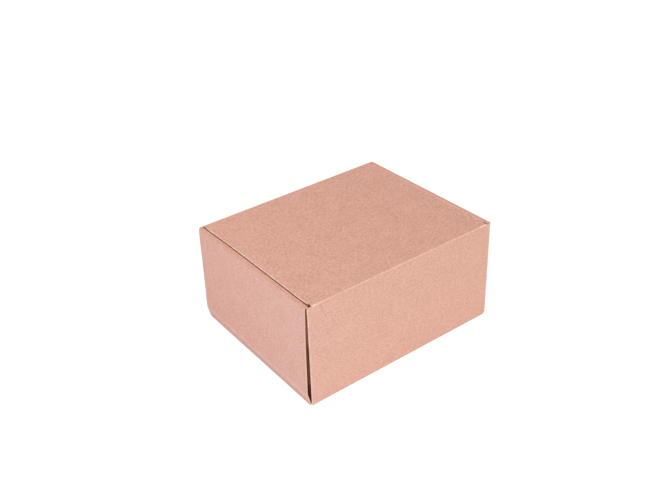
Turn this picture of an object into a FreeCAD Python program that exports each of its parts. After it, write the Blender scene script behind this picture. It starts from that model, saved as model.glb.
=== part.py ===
import FreeCAD, Part

import math
import os

# A closed mailing box that is folded from one die-cut sheet of thin corrugated board. The tray is
# the floor, the front and rear walls, the corner flaps and the doubled side walls. The lid hangs on
# the rear wall's top crease and carries a tuck flap and two dust flaps.
# X runs across the box, Y from the front to the rear hinge, and Z up from the floor it stands on.

# The sheet
board = 1.5                # thickness of the board
crease_radius = 0.3        # inner radius of every fold
crease_cut = 0.1           # width of the score line where the lid and the rear wall meet
ply_gap = 0.15             # air between the layers of a doubled side wall

# The folded box, over its outer faces
width = 245.4              # rear wall, over its two upright folds
depth = 198.0              # from front wall to rear wall
height = 120.0             # from the floor's underside to the lid's top face

# Doubled side walls
strip_drop = 0.4           # how far the rolled-over top edge lies below the lid's top face
foot_inset = 1.15          # how far the floor crease lies inside the wall's top edge
kink_height = 15.0         # height of the extra crease low on the outer panel
kink_radius = 6.0          # outer radius of that crease
right_bulge = 2.75         # how far the crease stands out past the top edge, on the +X wall
left_bulge = 0.25          # the same on the -X wall
side_end_gap = 1.0         # outer panel's upper end to the outer face of the front or rear wall
side_foot_gap = 2.0        # outer panel's lower end to the outer face of the front or rear wall
panel_end_gap = 0.5        # inner panel's end to the inner face of the front or rear wall
panel_foot_gap = 0.2       # inner panel's lower edge to the floor

# Locking tabs of the inner panels, and their slots in the floor
tab_length = 27.0
tab_centre = 57.5          # from the middle of the wall
tab_recess = 0.25          # how far a tab's end stays inside the floor's underside
tab_corner = 0.6
slot_play = 0.25           # air round a tab in its slot

# Corner flaps, between the layers of the side walls
flap_length = 70.0         # from the upright fold to the free end
flap_clearance = 1.0       # flap's lower edge above the crease that it pushes out
flap_taper = 4.0           # how far the flap's edges close in at its free end
flap_corner = 5.0
corner_drop = 2.4          # top of the corners below the lid's top face

# Front wall
front_drop = 0.7           # top edge below the lid's top face
front_corner = 1.5

# Lid
lid_side_gap = 0.45        # dust flap to the inner panel beside it
tuck_gap = 0.4             # tuck flap's fold to the inside of the front wall
tuck_sweep_gap = 0.3       # tuck flap's free edge to the front wall, as the lid swings
tuck_depth = 34.0          # from the lid's top face to the free edge
tuck_end_gap = 1.0         # tuck flap's end to the edge of the lid panel
tuck_taper = 5.0           # how far the ends close in at the free edge
tuck_corner = 10.0
dust_depth = 45.0          # from the lid's top face to the free edge
dust_rear_gap = 3.0        # dust flap's rear end to the inside of the rear wall
dust_front_gap = 8.0       # dust flap's front end to the inside of the front wall
dust_taper = 9.0           # how far the ends close in at the free edge
dust_corner = 7.0

# Where the faces of the layers lie
fold = crease_radius + board
flap_face = width / 2
outer_panel = flap_face + ply_gap + board
inner_panel = flap_face - board - ply_gap - board
foot = outer_panel - foot_inset
strip_top = height - strip_drop
corner_top = height - corner_drop
wall_face = depth / 2
wall_inside = wall_face - board
fold_line = wall_face - fold
dust_face = inner_panel - lid_side_gap
lid_edge = dust_face - fold
tuck_face = wall_inside - tuck_gap


def at(axis, u, v, w):
    """A point from its place (u, v) in the plane across an axis, and its place w along that axis."""
    if axis == "x":
        return FreeCAD.Vector(w, u, v)
    if axis == "y":
        return FreeCAD.Vector(u, w, v)
    return FreeCAD.Vector(u, v, w)


def unit(a, b):
    """The direction from a to b."""
    length = math.hypot(b[0] - a[0], b[1] - a[1])
    return (b[0] - a[0]) / length, (b[1] - a[1]) / length


def slab(axis, start, end, points, radii=0.0):
    """A prism along an axis, whose outline goes round the points with each corner rounded."""
    count = len(points)
    if not isinstance(radii, (list, tuple)):
        radii = [radii] * count
    corners = []
    for i in range(count):
        before = unit(points[i - 1], points[i])
        after = unit(points[i], points[(i + 1) % count])
        turn = before[0] * after[1] - before[1] * after[0]
        angle = math.atan2(turn, before[0] * after[0] + before[1] * after[1])
        if radii[i] <= 0 or abs(angle) < 1e-6:
            corners.append([points[i]])
            continue
        back = radii[i] * math.tan(abs(angle) / 2)
        x, y = points[i]
        first = (x - before[0] * back, y - before[1] * back)
        last = (x + after[0] * back, y + after[1] * back)
        side = math.copysign(radii[i], angle)
        centre = (first[0] - before[1] * side, first[1] + before[0] * side)
        away = unit(centre, (x, y))
        middle = (centre[0] + away[0] * radii[i], centre[1] + away[1] * radii[i])
        corners.append([first, middle, last])
    edges = []
    for i in range(count):
        if len(corners[i]) == 3:
            edges.append(Part.Arc(*[at(axis, u, v, start) for u, v in corners[i]]).toShape())
        p = at(axis, *corners[i][-1], start)
        q = at(axis, *corners[(i + 1) % count][0], start)
        if (q - p).Length > 1e-6:
            edges.append(Part.LineSegment(p, q).toShape())
    face = Part.Face(Part.Wire(edges))
    return face.extrude(at(axis, 0, 0, end - start))


def folded(axis, start, end, path, radii=None):
    """A strip of board whose outer face follows the path, with the board on the path's left."""
    if radii is None:
        radii = [fold] * (len(path) - 2)
    inner = []
    inner_radii = []
    for i in range(len(path)):
        before = unit(path[max(i - 1, 0)], path[max(i, 1)])
        after = unit(path[min(i, len(path) - 2)], path[min(i + 1, len(path) - 1)])
        scale = board / (1 + before[0] * after[0] + before[1] * after[1])
        inner.append((path[i][0] - (before[1] + after[1]) * scale,
                      path[i][1] + (before[0] + after[0]) * scale))
    for radius in radii:
        inner_radii.append(radius - board)
    outline = list(path) + inner[::-1]
    return slab(axis, start, end, outline, [0] + list(radii) + [0, 0] + inner_radii[::-1] + [0])


def mirrored(shape, x, y):
    """The shape's image in the middle plane of the box whose normal is (x, y, 0)."""
    return shape.mirror(FreeCAD.Vector(0, 0, 0), FreeCAD.Vector(x, y, 0))


# Floor with the front and rear walls, which stand up from two creases
floor_edge = foot - fold
floor = folded("x", -floor_edge, floor_edge, [
    (-wall_face, corner_top), (-wall_face, 0), (wall_face, 0), (wall_face, corner_top)])

# Rear wall between its upright folds, with a corner flap beyond each of them
flap_end = wall_face - flap_length
flap_foot = kink_height + flap_clearance
rear_wall = folded("z", fold, corner_top, [
    (flap_face, flap_end), (flap_face, wall_face), (-flap_face, wall_face), (-flap_face, flap_end)])
flap_outline = slab("x", -width, width, [
    (wall_face, fold), (wall_face, corner_top), (fold_line, corner_top),
    (flap_end, corner_top - flap_taper), (flap_end, flap_foot + flap_taper), (fold_line, flap_foot),
    (fold_line, fold)], [0, 0, 0, flap_corner, flap_corner, 0, 0])
rear_wall = rear_wall.common(flap_outline)
front_wall = mirrored(rear_wall, 0, 1)
front_lip = slab("y", -wall_face, -wall_inside, [
    (-lid_edge, corner_top - board), (lid_edge, corner_top - board), (lid_edge, height - front_drop),
    (-lid_edge, height - front_drop)], [0, 0, front_corner, front_corner])


def side_wall(bulge):
    """The +X side: outer panel, rolled-over top edge and inner panel with its locking tabs."""
    outer_half = wall_face - side_end_gap
    foot_half = wall_face - side_foot_gap
    inner_half = wall_inside - panel_end_gap
    panel_foot = board + panel_foot_gap
    band = folded("y", -outer_half, outer_half, [
        (0, 0), (foot, 0), (outer_panel + bulge, kink_height), (outer_panel, strip_top),
        (inner_panel, strip_top), (inner_panel, panel_foot)], [fold, kink_radius, fold, fold])
    outer_end = outer_panel - fold
    outer_outline = slab("x", outer_end, width, [
        (-foot_half, 0), (foot_half, 0), (outer_half, corner_top), (outer_half, height),
        (-outer_half, height), (-outer_half, corner_top)])
    foot_outline = slab("x", floor_edge, outer_end, [
        (-foot_half, 0), (foot_half, 0), (foot_half, kink_height), (-foot_half, kink_height)])
    inner_outline = slab("x", 0, outer_end, [
        (-inner_half, board), (inner_half, board), (inner_half, height), (-inner_half, height)])
    floor_outline = slab("x", 0, outer_end, [
        (-fold_line, 0), (fold_line, 0), (fold_line, board), (-fold_line, board)])
    outlines = outer_outline.fuse([foot_outline, inner_outline, floor_outline])
    return band.common(outlines)


def locking_tab(centre):
    """A tab on the +X inner panel's lower edge."""
    low = centre - tab_length / 2
    high = centre + tab_length / 2
    top = board + panel_foot_gap + board
    return slab("x", inner_panel, inner_panel + board, [
        (low, tab_recess), (high, tab_recess), (high, top), (low, top)], [tab_corner, tab_corner, 0, 0])


def floor_slot(centre):
    """The slot in the floor that takes a locking tab."""
    low = centre - tab_length / 2 - slot_play
    high = centre + tab_length / 2 + slot_play
    near = inner_panel - slot_play
    far = inner_panel + board + slot_play
    return slab("z", -board, board, [(near, low), (far, low), (far, high), (near, high)])


# The lid and the rear wall are one strip, scored through along the middle of their crease
rear_crease = (fold_line, height - fold)
score = (rear_crease[0] + fold * math.cos(math.pi / 4), rear_crease[1] + fold * math.sin(math.pi / 4))

# The tuck flap leans in, so that its free edge passes the front wall as the lid swings on the score
reach = score[0] + wall_inside - tuck_sweep_gap
tuck_drop = score[1] - (height - tuck_depth)
tuck_tip = score[0] - math.sqrt(reach ** 2 - tuck_drop ** 2)
tuck_lean = math.atan2(tuck_tip + tuck_face, tuck_depth - fold)
tuck_crease = -tuck_face + fold * (1 - math.tan(math.pi / 4 + tuck_lean / 2))
tuck_foot = tuck_crease + tuck_depth * math.tan(tuck_lean)

strip = folded("x", -lid_edge, lid_edge, [
    (wall_face, corner_top - board), (wall_face, height), (tuck_crease, height),
    (tuck_foot, height - tuck_depth)])
tuck_half = lid_edge - tuck_end_gap
tuck_outline = slab("y", -depth, depth, [
    (-lid_edge, height), (-lid_edge, height - fold), (-tuck_half, height - fold),
    (-tuck_half + tuck_taper, height - tuck_depth), (tuck_half - tuck_taper, height - tuck_depth),
    (tuck_half, height - fold), (lid_edge, height - fold), (lid_edge, height)],
    [0, 0, 0, tuck_corner, tuck_corner, 0, 0, 0])
rear_block = slab("x", -width, width, [
    (0, 0), (depth, 0), (depth, height), (0, height)])
strip = strip.common(tuck_outline.fuse(rear_block))


def beyond_score(shift):
    """The space on the lid's side of the score line, moved off it by a distance."""
    step = shift / math.sqrt(2)
    y = rear_crease[0] - step
    z = rear_crease[1] + step
    return slab("x", -width, width, [
        (y, z), (y + depth, z + depth), (y - depth, z + 3 * depth), (y - 3 * depth, z + depth),
        (y - 3 * depth, z - 3 * depth), (y - depth, z - depth)])


hinge_lip = strip.cut(beyond_score(0))
lid = strip.common(beyond_score(crease_cut))


def dust_flap():
    """The flap on the lid's +X edge, which hangs inside the doubled side wall."""
    rear = wall_inside - dust_rear_gap
    front = -wall_inside + dust_front_gap
    foot_z = height - dust_depth
    flap = folded("y", front, rear, [(dust_face, foot_z), (dust_face, height), (0, height)])
    outline = slab("x", lid_edge - board, dust_face, [
        (front, height), (front, height - fold), (front + dust_taper, foot_z),
        (rear - dust_taper, foot_z), (rear, height - fold), (rear, height)],
        [0, 0, dust_corner, dust_corner, 0, 0])
    return flap.common(outline)


right_dust_flap = dust_flap()
lid = lid.fuse([right_dust_flap, mirrored(right_dust_flap, 1, 0)]).removeSplitter()

right_wall = side_wall(right_bulge)
left_wall = mirrored(side_wall(left_bulge), 1, 0)
slots = [floor_slot(-tab_centre), floor_slot(tab_centre)]
tabs = [locking_tab(-tab_centre), locking_tab(tab_centre)]
slots = slots + [mirrored(slot, 1, 0) for slot in slots]
tabs = tabs + [mirrored(tab, 1, 0) for tab in tabs]

# The sheet is joined at its creases, and the box stands centred on its own outline
tray = floor.fuse([rear_wall, front_wall, front_lip, hinge_lip, right_wall, left_wall])
tray = tray.cut(slots).fuse(tabs).removeSplitter()
bounds = tray.BoundBox
centring = FreeCAD.Vector(-(bounds.XMin + bounds.XMax) / 2, 0, 0)

os.makedirs("parts", exist_ok=True)
for name, shape in (("tray", tray), ("lid", lid)):
    shape.translate(centring)
    shape.exportStep("parts/" + name + ".step")
    solids = len(shape.Solids)
    print(name, "solids", solids, "valid", shape.isValid(), "volume", round(shape.Volume, 1), shape.BoundBox)
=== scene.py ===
"""A mailing box folded from one sheet of corrugated board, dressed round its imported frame."""

import math

import bmesh
import bpy
import numpy as np
from bpy.props import FloatProperty, FloatVectorProperty, PointerProperty
from mathutils import Matrix, Vector


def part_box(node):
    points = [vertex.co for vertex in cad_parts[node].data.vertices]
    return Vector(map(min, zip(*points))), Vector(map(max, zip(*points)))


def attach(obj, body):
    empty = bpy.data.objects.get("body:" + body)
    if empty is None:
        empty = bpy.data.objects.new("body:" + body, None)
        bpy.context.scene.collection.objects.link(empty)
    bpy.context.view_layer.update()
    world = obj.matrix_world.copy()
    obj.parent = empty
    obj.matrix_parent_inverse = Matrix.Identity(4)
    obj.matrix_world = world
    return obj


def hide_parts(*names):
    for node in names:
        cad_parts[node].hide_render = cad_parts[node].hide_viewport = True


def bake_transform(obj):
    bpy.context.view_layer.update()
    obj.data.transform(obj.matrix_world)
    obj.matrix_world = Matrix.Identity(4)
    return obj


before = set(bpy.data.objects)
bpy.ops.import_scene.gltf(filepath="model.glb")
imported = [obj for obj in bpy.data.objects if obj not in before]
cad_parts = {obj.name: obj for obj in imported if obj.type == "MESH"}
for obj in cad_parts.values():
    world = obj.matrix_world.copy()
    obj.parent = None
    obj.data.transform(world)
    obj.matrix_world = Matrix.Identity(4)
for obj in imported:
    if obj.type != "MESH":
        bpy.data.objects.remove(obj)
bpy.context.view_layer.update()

bl_info = {
    "name": "Folded Mailing Box",
    "version": (1, 0, 0),
    "blender": (4, 5, 0),
    "location": "View3D > Sidebar > Mailing Box",
    "description": "Folds a mailing box out of corrugated board and sets up a studio round it",
    "category": "Object",
}

MM = 0.001

# Spacing of the net's lines over flat board, in millimetres, and how many there are, and how
# finely a fold and a rounded corner are divided
NET_STEP, NET_LINES = 4.0, 60
FOLD_PARTS = 8
CORNER_PARTS = 6

# How near two places are taken as one, in millimetres
CLOSE = 0.01

# How far a fold's pale line, rubbed paper with a painted highlight, reaches past it, in
# millimetres, and the net's lines beside it
RUB_HIGHLIGHT_CORE = 0.3
RUB_HIGHLIGHT_FADE = 0.7
RUB_HIGHLIGHT_LINES = (1.25, 2.8)

# Length of board beside a crushed fold over which its layers slip, beyond the slip itself
SLIP_ROOM = 0.3

# How strongly the folds are made pale, from 0 to 1: rubbed paper, and a painted highlight along
# each fold
FLOOR_RUB_HIGHLIGHT, UPRIGHT_RUB_HIGHLIGHT, SIDE_RUB_HIGHLIGHTS = 0.15, 0.6, (0.1, 0.0, 0.0, 0.15)
TUCK_RUB_HIGHLIGHT, DUST_RUB_HIGHLIGHT, HINGE_RUB_HIGHLIGHT = 0.5, 1.0, 0.42

# The two kinds of mark that a place of the sheet can have, worn with a painted highlight or
# strained, and the three kinds of face
WORN_HIGHLIGHT, STRAINED = 0, 1
OUTSIDE, INSIDE, CUT = 0, 1, 2

# The share of the full cut depth from which a cut shows its fluting, and how far inside it lies
SEEN_CUT = 0.7
RIM_GAP = 0.04


def length(name, description, millimetres):
    """A size that a user can change, kept in metres."""
    return FloatProperty(name=name, description=description, default=millimetres * MM, min=0.0,
                         precision=5, unit="LENGTH", subtype="DISTANCE")


def power(name, description, strength, **more):
    """The strength of a light, which a user can change."""
    return FloatProperty(name=name, description=description, default=strength, min=0.0, **more)


def colour(name, description, red, green, blue):
    """A colour that a user can change, given in the 0-255 steps of a colour picker."""
    channels = [step / 255 for step in (red, green, blue)]
    linear = [c / 12.92 if c <= 0.04045 else ((c + 0.055) / 1.055) ** 2.4 for c in channels]
    return FloatVectorProperty(name=name, description=description, default=linear, min=0.0, max=1.0,
                               size=3, subtype="COLOR")


class BoxSizes(bpy.types.PropertyGroup):
    """Sizes of the folded box, over its outer faces."""

    board: length("Board", "Thickness of the corrugated board", 1.5)
    crease_radius: length("Crease room", "Room that every fold takes beyond the board", 0.3)
    sharpness: length("Fold radius", "Outer radius of a tight fold", 0.7)
    ply_gap: length("Layer gap", "Air between the layers of a doubled side wall", 0.15)
    width: length("Width", "Rear wall over its two upright folds", 245.4)
    depth: length("Depth", "Front wall to rear wall", 198.0)
    height: length("Height", "Underside of the floor to the top of the lid", 120.0)
    right_drop: length("Right drop", "Top edge of the +X wall below the top of the lid", 0.4)
    left_drop: length("Left drop", "Top edge of the -X wall below the top of the lid", 1.0)
    foot_inset: length("Foot inset", "Floor crease inside the side wall's top edge", 1.15)
    kink_height: length("Kink height", "Height of the extra crease in the side wall", 15.0)
    kink_radius: length("Kink radius", "Outer radius of that crease", 6.0)
    right_bulge: length("Right bulge", "How far the crease stands out on the +X wall", 2.75)
    left_bulge: length("Left bulge", "How far the crease stands out on the -X wall", 0.25)
    right_bow: length("Right bow", "How far the +X wall bows out between its creases", 0.45)
    lid_sink: length("Lid sink", "How far the middle of the lid lies below its edges", 0.35)
    tab_length: length("Tab length", "Length of a locking tab", 27.0)
    tab_centre: length("Tab place", "Middle of a tab from the middle of the wall", 57.5)
    flap_length: length("Corner flap", "Upright fold to the free end of a corner flap", 70.0)
    tuck_depth: length("Tuck flap", "Top of the lid to the tuck flap's free edge", 34.0)
    dust_depth: length("Dust flap", "Top of the lid to a dust flap's free edge", 45.0)


class BoardMake(bpy.types.PropertyGroup):
    """How the board is made, and the colours of its papers."""

    liner: length("Liner", "Thickness of the two flat papers", 0.22)
    medium: length("Fluting", "Thickness of the wavy paper", 0.2)
    flute_pitch: length("Flute pitch", "Distance from one flute to the next", 3.2)
    cut_depth: length("Cut depth", "How deep a cut across the flutes is hollow", 0.4)
    rough_depth: length("Rough depth", "How deep a cut along the flutes is hollow", 0.08)
    flute_step: length("Flute step", "Length of one straight piece of the wave", 0.45)
    outer: colour("Outer liner", "Colour of the paper outside", 229, 174, 155)
    inner: colour("Inner liner", "Colour of the paper inside", 204, 153, 127)
    # The rubbed fold colour is partly worn paper and partly a painted highlight along the folds
    rubbed_highlight: colour("Rubbed fold", "Colour of the paper along a worn fold", 250, 224, 206)
    cut: colour("Cut edge", "Colour of the cut edge of a flat paper", 246, 190, 168)
    fluting: colour("Fluting", "Colour of the wavy paper", 186, 134, 104)
    torn: colour("Torn paper", "Colour of torn fibres", 255, 224, 202)


class StudioLight(bpy.types.PropertyGroup):
    """Lights round the box."""

    sky: power("Sky", "Strength of the even light from all sides", 0.666)
    key: power("Key", "Strength of the broad light on the rear wall", 1.14)
    low: power("Low", "Power of the soft lamp low beside the +X wall", 0.78, unit="POWER")
    fill: power("Fill", "Power of the soft lamp above the +X wall", 1.23, unit="POWER")
    floor: colour("Floor", "Colour of the floor", 240, 240, 240)


class Plan:
    """The box's sizes in millimetres, and the places of its folds and edges."""

    side_end_gap = 1.8       # outer panel's upper end to the face of the front or rear wall
    side_foot_gap = 2.0      # outer panel's lower end to the face of the front or rear wall
    panel_end_gap = 0.5      # inner panel's end to the inner face of the front or rear wall
    panel_foot_gap = 0.2     # inner panel's lower edge to the floor
    panel_step = 2.0         # height over which the inner panel's sprung end draws back
    panel_heel = 0.5         # how much shorter the inner panel's foot is
    tab_recess = 0.25        # tab's end inside the floor's underside
    tab_corner = 0.6
    slot_play = 0.25
    flap_clearance = 1.0     # flap's lower edge above the crease that it pushes out
    flap_taper = 4.0
    flap_corner = 5.0
    corner_drop = 1.3        # top of the walls' corners below the top of the lid
    flap_drop = 2.4          # top of the corner flaps below the top of the lid
    front_drop = 0.45        # top of the front wall below the top of the lid
    lid_side_gap = 1.2       # lid's edge to the side wall's rolled top
    tuck_gap = 0.4           # tuck flap's free edge to the front wall
    tuck_sweep_gap = 0.3     # and as it passes the wall
    tuck_end_gap = 1.0
    tuck_taper = 5.0
    tuck_corner = 10.0
    dust_rear_gap = 4.2
    dust_front_gap = 8.0
    slit = 0.3               # between a dust flap's front end and the lid's front corner
    lid_corner = 0.5
    dust_taper = 9.0
    dust_corner = 7.0
    crease_reach = 2.0       # flat board on each side of the lid's crease that bends with it
    upright_lines = (1.0, 2.4)   # lines of the net beside the walls' upright folds
    worn_highlight_end = 9.0           # length at each end of the lid's crease that is rubbed most, with the strongest painted highlight
    crease_strain = (0.8, 2.4)   # the strip of the crease's board that is strained
    rolled_top = 8.0         # breadth of flat sheet that takes in the side wall's rolled top
    upright_gap = 0.2        # lower end of the walls' upright folds above the floor's fold
    crush = 0.15             # inner radius of a tight fold
    lip = 0.45               # outer radius of the folds beside the lid's side gap

    # The faint pale band under the side walls' extra crease, pressed paper with a painted
    # highlight, and its strength on +X and -X
    press_height = 13.0
    press_rub_highlight = (1.5, 3.5)
    press_lines = (-5.0, -2.0, 0.0, 2.0)
    right_press, left_press = 0.42, 0.08

    # How the folded box gives way. A pair says where a change begins and where it is complete.
    wall_bow = 0.3           # how far the front and rear walls bow out
    sprung_places = (87.0, 90.0, 92.0, 93.3, 95.0, 96.2, 98.3)   # along the sprung corner flap
    sprung_depths = (0.0, 1.2, 2.6, 3.5, 5.0, 4.4, 0.7)
    pushed_places = (74.0, 80.0, 84.0, 87.0, 90.0, 93.0, 95.5)   # and, under the dust flap,
    pushed_depths = (0.0, 2.0, 4.2, 6.0, 5.6, 2.9, 0.0)          # with the panel beside it
    sprung_foot = 5.0        # height where it has sprung in fully
    sprung_top = (0.85, 0.97)        # shares of the height, where it comes back
    sprung_rest = 0.65       # part of it that is left at the top
    sprung_end = 86.8        # end of the inner panel beside it
    pushed_top = (13.0, 1.0)         # below the dust flap's edge
    end_draw = 0.55          # how far the outer panel's end is drawn back beside it, at the top
    end_draw_along = (0.8, 0.97)     # shares of half the depth
    end_draw_up = (0.3, 0.8)         # shares of the height
    lid_widening = 0.75      # how much nearer the lid lies to the wall on the -X side
    widening_reach = 6.0     # breadth of lid that it takes
    undercut = 1.1           # how far the dust flaps lie inside the lid's side edges
    undercut_reach = 2.5     # breadth of lid that it takes
    undercut_down = (0.3, 2.3)       # below the top of the lid
    flare = 1.4              # how far the +X wall's top leans out at its front end
    flare_start = 80.0       # distance from the middle
    flare_up = (0.4, 1.0)            # shares of the height

    # Torn bits of liner: place, direction that they face, and size
    shreds = (((124.1, 97.5, 119.2), (0.5, 0.7, 0.6), 0.6),
              ((118.6, 98.3, 118.9), (0.4, 0.6, 0.7), 0.5))
    shred_thickness = 0.14
    shred_curl = 0.25
    shred_corners = 7

    def __init__(self, sizes):
        for name in BoxSizes.__annotations__:
            setattr(self, name, round(getattr(sizes, name) / MM, 5))
        self.half = self.board / 2
        self.fold = self.crease_radius + self.board
        self.flap_face = self.width / 2
        self.outer_panel = self.flap_face + self.ply_gap + self.board
        self.inner_panel = self.flap_face - 2 * self.board - self.ply_gap
        self.foot = self.outer_panel - self.foot_inset
        self.corner_top = self.height - self.corner_drop
        self.front_top = self.height - self.front_drop
        self.flap_top = self.height - self.flap_drop
        self.wall_face = self.depth / 2
        self.wall_inside = self.wall_face - self.board
        self.fold_line = self.wall_face - self.fold
        self.dust_face = self.inner_panel - self.lid_side_gap
        self.lid_edge = self.dust_face - self.fold
        self.floor_edge = self.foot - self.fold
        self.upright = self.flap_face - self.fold
        self.flap_end = self.wall_face - self.flap_length
        self.flap_foot = self.kink_height + self.flap_clearance
        self.crease_top = self.height - self.fold
        self.upright_foot = self.fold + self.upright_gap
        self.dust_rear = self.wall_inside - self.dust_rear_gap
        self.dust_front = self.dust_front_gap - self.wall_inside
        self.dust_foot = self.height - self.dust_depth
        self.panel_start = self.floor_edge + self.height + self.rolled_top
        self.seam_height = self.crease_top - self.crease_reach
        self.seam_depth = self.fold_line - self.crease_reach

        # The tuck flap leans in, so that its free edge passes the front wall as the lid swings
        score_y = self.fold_line + self.fold * math.cos(math.pi / 4)
        score_z = self.crease_top + self.fold * math.sin(math.pi / 4)
        reach = score_y + self.wall_inside - self.tuck_sweep_gap
        tip = score_y - math.sqrt(reach ** 2 - (score_z - (self.height - self.tuck_depth)) ** 2)
        lean = math.atan2(tip + self.wall_inside - self.tuck_gap, self.tuck_depth - self.fold)
        self.tuck_crease = -(self.wall_inside - self.tuck_gap) + self.fold * (
            1 - math.tan(math.pi / 4 + lean / 2))
        self.tuck_foot = self.tuck_crease + self.tuck_depth * math.tan(lean)

        # The strip of front wall, floor and rear wall, and the strip round the lid's crease
        wall, tight = self.wall_face, self.sharpness
        self.column = self.strip([(-wall, self.front_top), (-wall, 0), (wall, 0),
                                  (wall, self.corner_top)], [tight, tight])
        self.hinge = self.strip([(wall, self.seam_height), (wall, self.height),
                                 (self.seam_depth, self.height)], [tight])

        # Where the wall's foot, the lid's crease and the lid lie on the flat sheet, from its middle
        self.wall_start = self.column.on(2, wall, 0) - self.column.on(1, 0, 0)
        self.hinge_start = self.wall_start + self.seam_height
        self.lid_start = self.hinge_start + self.hinge.length

        # Lines of the net that neighbouring panels share
        regular = [NET_STEP * i for i in range(NET_LINES)]
        tab = (self.tab_centre - self.tab_length / 2, self.tab_centre + self.tab_length / 2)
        slot = (tab[0] - self.slot_play, tab[1] + self.slot_play)
        self.tab, self.slot = tab, slot
        self.across = both_ways(spread(regular, [
            self.inner_panel - self.slot_play, self.inner_panel + self.board + self.slot_play,
            *[self.upright - beside for beside in self.upright_lines]]))
        self.along = both_ways(spread(regular, [
            *[self.fold_line - beside for beside in RUB_HIGHLIGHT_LINES], self.pushed_places[0], *tab,
            *slot]))
        self.up = spread(regular, [
            self.upright_foot, self.fold + RUB_HIGHLIGHT_LINES[1], self.kink_height, self.flap_foot,
            *[self.crease_top - beside for beside in RUB_HIGHLIGHT_LINES]])

    def strip(self, corners, radii):
        """A strip of this box's board over the corners of its outer face."""
        return Profile(corners, radii, self.board, self.crush)


def spread(regular, special, clear=1.3):
    """The special lines, and the regular ones that don't crowd them, in order."""
    kept = [r for r in regular if all(abs(r - s) > clear for s in special)]
    return sorted(kept + list(special))


def both_ways(places):
    """The places and their mirror images about zero, in order."""
    return sorted(set([-p for p in places] + list(places)))


def rounded(points):
    """A closed outline through the points. A point's third value, if any, rounds its corner."""
    corners = [Vector(p[:2]) for p in points]
    outline = []
    for i, corner in enumerate(corners):
        if len(points[i]) == 2:
            outline.append(corner)
            continue
        radius = points[i][2]
        into = (corner - corners[i - 1]).normalized()
        away = (corners[(i + 1) % len(corners)] - corner).normalized()
        turn = math.atan2(into.cross(away), into.dot(away))
        centre = corner + (away - into).normalized() * radius / math.cos(turn / 2)
        arm = corner - into * radius * math.tan(abs(turn) / 2) - centre
        for k in range(CORNER_PARTS + 1):
            angle = turn * k / CORNER_PARTS
            c, s = math.cos(angle), math.sin(angle)
            outline.append(centre + Vector((arm.x * c - arm.y * s, arm.x * s + arm.y * c)))
    return outline


class Profile:
    """A strip of board over its folds, seen along them. The board's outer face follows the given
    corners, with the board on their left, and every fold turns left. Where a fold is tighter than
    the board is thick, the board is crushed and its inner face meets in a sharp corner. Its parts
    are flat runs and folds in turn."""

    def __init__(self, corners, radii, board, crush):
        points = [Vector(c) for c in corners]
        ways = [(b - a).normalized() for a, b in zip(points, points[1:])]
        self.board = board
        self.parts = []
        self.folds = []
        self.length = 0.0
        back, slip = 0.0, 0.0
        for i, way in enumerate(ways):
            start = points[i] + way * back
            if i < len(radii):
                turn = math.atan2(way.cross(ways[i + 1]), way.dot(ways[i + 1]))
                inner = max(radii[i] - board, crush)
                back = radii[i] * math.tan(turn / 2)
                next_slip = (board + inner) * math.tan(turn / 2) - back
            else:
                back, next_slip = 0.0, 0.0
            size = (points[i + 1] - start).dot(way) - back
            self.parts.append((self.length, start, way, size, slip, next_slip))
            self.length += size
            slip = next_slip
            if i < len(radii):
                toward = (ways[i + 1] - way).normalized() / math.cos(turn / 2)
                self.folds.append((self.length, self.length + radii[i] * turn))
                self.parts.append((self.length, points[i + 1], way, toward, radii[i], inner))
                self.length += radii[i] * turn

    def on(self, run, u, v):
        """How far along the strip a point beside one of its flat runs is."""
        begin, start, way = self.parts[2 * run][:3]
        return begin + (Vector((u, v)) - start).dot(way)

    def at_height(self, run, v):
        """How far along the strip one of its sloping runs reaches a height."""
        begin, start, way = self.parts[2 * run][:3]
        return begin + (v - start.y) / way.y

    def fold_lines(self):
        """Places to divide the strip's folds at."""
        return [s for low, high in self.folds for s in np.linspace(low, high, FOLD_PARTS + 1)]

    def lines(self, step=NET_STEP):
        """Places to divide the strip at: evenly over its runs, closer at its folds."""
        special = self.fold_lines()
        for low, high in self.folds:
            special += [place for beside in RUB_HIGHLIGHT_LINES for place in (low - beside, high + beside)]
        special = [s for s in special if 0 < s < self.length]
        return spread(np.arange(step, self.length, step), special)

    def place(self, s):
        """The outer point and the inner point at each distance, and the way out of the board."""
        outer, inner, outward = np.zeros((3, len(s), 2))
        begins = [part[0] for part in self.parts]
        which = np.clip(np.searchsorted(begins, s + CLOSE / 100) - 1, 0, len(begins) - 1)
        for number, (low, start, way, *rest) in enumerate(self.parts):
            here = which == number
            t = s[here] - low
            along = np.array(way)
            left = np.array((-way.y, way.x))
            if number % 2:
                toward, radius, tight = rest
                angle = (t / radius)[:, None]
                out = along * np.sin(angle) - left * np.cos(angle)
                outer[here] = np.array(start + toward * radius) + out * radius
                inner[here] = np.array(start + toward * (self.board + tight)) + out * tight
                outward[here] = out
            else:
                size, first, last = rest
                slip = first * np.clip(1 - t / min(first + SLIP_ROOM, size), 0, 1)
                slip -= last * np.clip(1 - (size - t) / min(last + SLIP_ROOM, size), 0, 1)
                outer[here] = np.array(start) + along * t[:, None]
                inner[here] = np.array(start) + along * (t + slip)[:, None] + left * self.board
                outward[here] = -left
        return outer, inner, outward


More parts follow.
